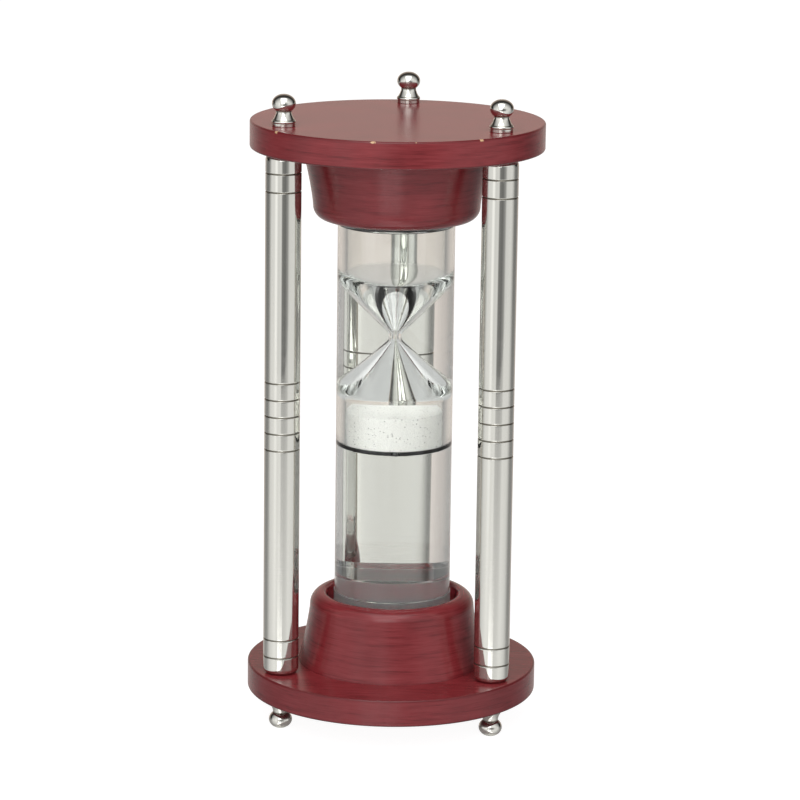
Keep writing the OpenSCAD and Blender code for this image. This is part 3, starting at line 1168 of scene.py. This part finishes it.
class HOURGLASS_OT_stage(bpy.types.Operator):
    """Build the floor, the studio light and the camera"""

    bl_idname = "hourglass.stage"
    bl_label = "Stage"

    # Camera: distance and height from the point under the object, azimuth towards +X,
    # then its turn, tilt and roll in radians
    distance = 1.5343
    height = 0.4909
    azimuth = math.radians(4.92)
    yaw = 0.0016
    tilt = 0.2232
    roll = 0.0130

    def execute(self, context):
        self.floor()
        self.studio()
        self.softboxes()
        self.camera()
        scene = context.scene
        scene.view_settings.view_transform = "Standard"
        scene.cycles.max_bounces = 32
        scene.cycles.transmission_bounces = 32
        scene.cycles.glossy_bounces = 12
        return {"FINISHED"}

    def floor(self):
        """A round board under the object, which reaches far behind it."""
        radius, thick = 2.6, 0.003
        front = 0.72  # how far it reaches in front of the object
        outline = [(0, -thick), (radius, -thick), (radius, 0), (0.3, 0), (0, 0)]
        board = lathe("floor", outline, 128, (0, radius - front))
        board.data.materials.append(finish_called("matt_white_board", board_nodes))

    def studio(self):
        """White for the eye, and a soft studio for everything that the pieces mirror."""
        world = bpy.data.worlds.new("studio")
        world.use_nodes = True
        tree = world.node_tree
        tree.nodes.clear()
        way = add(tree, "TexCoord").node.outputs["Generated"]
        way = add(
            tree,
            "VectorRotate",
            {"Vector": way, "Axis": (0, 0, 1), "Angle": -self.azimuth},
            rotation_type="AXIS_ANGLE",
        )
        parts = add(tree, "SeparateXYZ", {0: way}).node.outputs
        near = add(tree, "Math", {0: parts[1], 1: -1.0}, operation="MULTIPLY")
        path = add(tree, "LightPath").node.outputs
        light = self.room(tree, parts, near, path)
        light = self.on_matt(tree, light, near, path)
        light = self.through_tube(tree, light, parts[2], near, path)
        seen = add(
            tree,
            "Mix",
            {"Factor": path["Is Camera Ray"], 6: light, 7: (1.1, 1.1, 1.1, 1)},
            data_type="RGBA",
        ).node.outputs[2]
        inside = add(
            tree,
            "Math",
            {0: path["Diffuse Depth"], 1: path["Is Transmission Ray"]},
            operation="MULTIPLY",
        )
        boost = add(tree, "MapRange", {"Value": inside, 3: 1.0, 4: 5.2})
        glow = add(tree, "Background", {"Color": seen, "Strength": boost})
        add(tree, "OutputWorld", {"Surface": glow})
        bpy.context.scene.world = world

    def room(self, tree, parts, near, path):
        """The walls at each azimuth and a pale tent over them: dark low behind the object,
        and warm there as well, but not through the tube. near is how far a direction
        points to the camera's side."""
        turn = add(tree, "Math", {0: parts[0], 1: near}, operation="ARCTAN2")
        share = add(tree, "MapRange", {"Value": turn, 1: -math.pi, 2: math.pi})
        stops = [((azimuth + 180) / 360, grey(level)) for azimuth, level in STUDIO]
        walls = add(tree, "ValToRGB", {0: share}, stops=stops)
        tent = add(tree, "MapRange", {"Value": near, 1: 0.0, 2: 0.6, 3: 0.45, 4: 1.05})
        up = add(tree, "MapRange", {"Value": parts[2], 1: 0.22, 2: 0.32})
        light = add(
            tree, "Mix", {"Factor": up, 6: walls, 7: tent}, data_type="RGBA"
        ).node.outputs[2]
        behind = add(tree, "MapRange", {"Value": near, 1: -0.6, 2: -0.9, 3: 0.1, 4: 0.95})
        behind = add(tree, "MapRange", {"Value": near, 1: 0.0, 2: -0.3, 3: 1.0, 4: behind})
        low = add(tree, "MapRange", {"Value": parts[2], 1: 0.1, 2: 0.02, 3: behind})
        light = add(tree, "VectorMath", {0: light, "Scale": low}, operation="SCALE")
        through = path["Is Transmission Ray"]
        wood = add(tree, "MapRange", {"Value": through, 3: 1.0, 4: 0.0})
        warm = add(tree, "MapRange", {"Value": near, 1: -0.3, 2: -0.6, 4: wood})
        return add(
            tree,
            "Mix",
            {"Factor": warm, 6: light, 7: (1.0, 0.84, 0.74, 1)},
            data_type="RGBA",
            blend_type="MULTIPLY",
        ).node.outputs[2]

    def on_matt(self, tree, light, near, path):
        """Matt surfaces are lit mostly from the camera's side."""
        rear = add(tree, "MapRange", {"Value": near, 1: -0.2, 2: -0.8, 3: 0.08, 4: 0.5})
        front = add(tree, "MapRange", {"Value": near, 1: 0.1, 2: 0.9, 3: rear, 4: 1.05})
        return add(
            tree,
            "Mix",
            {"Factor": path["Is Diffuse Ray"], 6: light, 7: front},
            data_type="RGBA",
        ).node.outputs[2]

    def through_tube(self, tree, light, height, near, path):
        """Above the horizon the tube shows a grey sheet, and below it never less than a dim
        board."""
        through = path["Is Transmission Ray"]
        sheet = add(tree, "MapRange", {"Value": near, 1: -0.3, 2: 0.2, 3: 0.6, 4: 0.4})
        sheet = add(tree, "MapRange", {"Value": height, 1: 0.6, 2: 0.8, 3: sheet, 4: 1.0})
        rise = add(tree, "MapRange", {"Value": height, 1: 0.0, 2: 0.15})
        above = add(tree, "Math", {0: rise, 1: through}, operation="MULTIPLY")
        board = add(tree, "MapRange", {"Value": through, 4: 0.25})
        light = add(tree, "VectorMath", {0: light, 1: board}, operation="MAXIMUM")
        return add(
            tree, "Mix", {"Factor": above, 6: light, 7: sheet}, data_type="RGBA"
        ).node.outputs[2]

    def softboxes(self):
        """Two large soft lights, over the object and high in front of it."""
        target = Vector((0, 0, 0.12))
        for name, spot, width, power in (
            ("overhead softbox", (0.0, -0.5, 1.3), 1.0, 6),
            ("front softbox", (-0.1, -1.4, 0.8), 0.8, 4),
        ):
            light = bpy.data.lights.new(name, "AREA")
            light.size = width
            light.energy = power
            box = bpy.data.objects.new(name, light)
            box.location = spot
            aim = target - Vector(spot)
            box.rotation_euler = aim.to_track_quat("-Z", "Y").to_euler()
            box.visible_camera = False
            bpy.context.scene.collection.objects.link(box)

    def camera(self):
        """A long lens from the front, a little above the top disc."""
        lens = bpy.data.cameras.new("camera")
        lens.sensor_width = 36
        lens.lens = 162.33
        lens.clip_start = 0.05
        lens.clip_end = 20
        eye = bpy.data.objects.new("camera", lens)
        spin = Matrix.Rotation(self.azimuth, 3, "Z")
        ahead = Vector(
            (
                math.sin(self.yaw) * math.cos(self.tilt),
                math.cos(self.yaw) * math.cos(self.tilt),
                -math.sin(self.tilt),
            )
        )
        right = Vector((math.cos(self.yaw), -math.sin(self.yaw), 0))
        above = right.cross(ahead)
        right, above = (
            math.cos(self.roll) * right + math.sin(self.roll) * above,
            math.cos(self.roll) * above - math.sin(self.roll) * right,
        )
        turn = Matrix((spin @ right, spin @ above, spin @ -ahead)).transposed()
        place = spin @ Vector((0, -self.distance, self.height))
        eye.matrix_world = Matrix.Translation(place) @ turn.to_4x4()
        bpy.context.scene.collection.objects.link(eye)
        bpy.context.scene.camera = eye


PIECES = (
    HOURGLASS_OT_discs,
    HOURGLASS_OT_collars,
    HOURGLASS_OT_columns,
    HOURGLASS_OT_finials,
    HOURGLASS_OT_tube,
    HOURGLASS_OT_rings,
    HOURGLASS_OT_capsule,
    HOURGLASS_OT_sand,
    HOURGLASS_OT_fittings,
    HOURGLASS_OT_stage,
)


class HOURGLASS_PT_panel(bpy.types.Panel):
    """Lists the hourglass's pieces, sizes and colours"""

    bl_label = "Floating hourglass"
    bl_idname = "HOURGLASS_PT_panel"
    bl_space_type = "VIEW_3D"
    bl_region_type = "UI"
    bl_category = "Hourglass"

    def draw(self, context):
        for piece in PIECES:
            self.layout.operator(piece.bl_idname)
        for group in (context.scene.hourglass_sizes, context.scene.hourglass_colours):
            box = self.layout.box()
            for key in group.__annotations__:
                box.prop(group, key)


CLASSES = (HourglassSizes, HourglassColours, *PIECES, HOURGLASS_PT_panel)


def register():
    for kind in CLASSES:
        bpy.utils.register_class(kind)
    bpy.types.Scene.hourglass_sizes = bpy.props.PointerProperty(type=HourglassSizes)
    bpy.types.Scene.hourglass_colours = bpy.props.PointerProperty(type=HourglassColours)


def unregister():
    del bpy.types.Scene.hourglass_colours
    del bpy.types.Scene.hourglass_sizes
    for kind in reversed(CLASSES):
        bpy.utils.unregister_class(kind)


def main():
    """Builds every piece and the stage."""
    register()
    for piece in PIECES:
        group, call = piece.bl_idname.split(".")
        getattr(getattr(bpy.ops, group), call)()


if __name__ == "__main__":
    main()
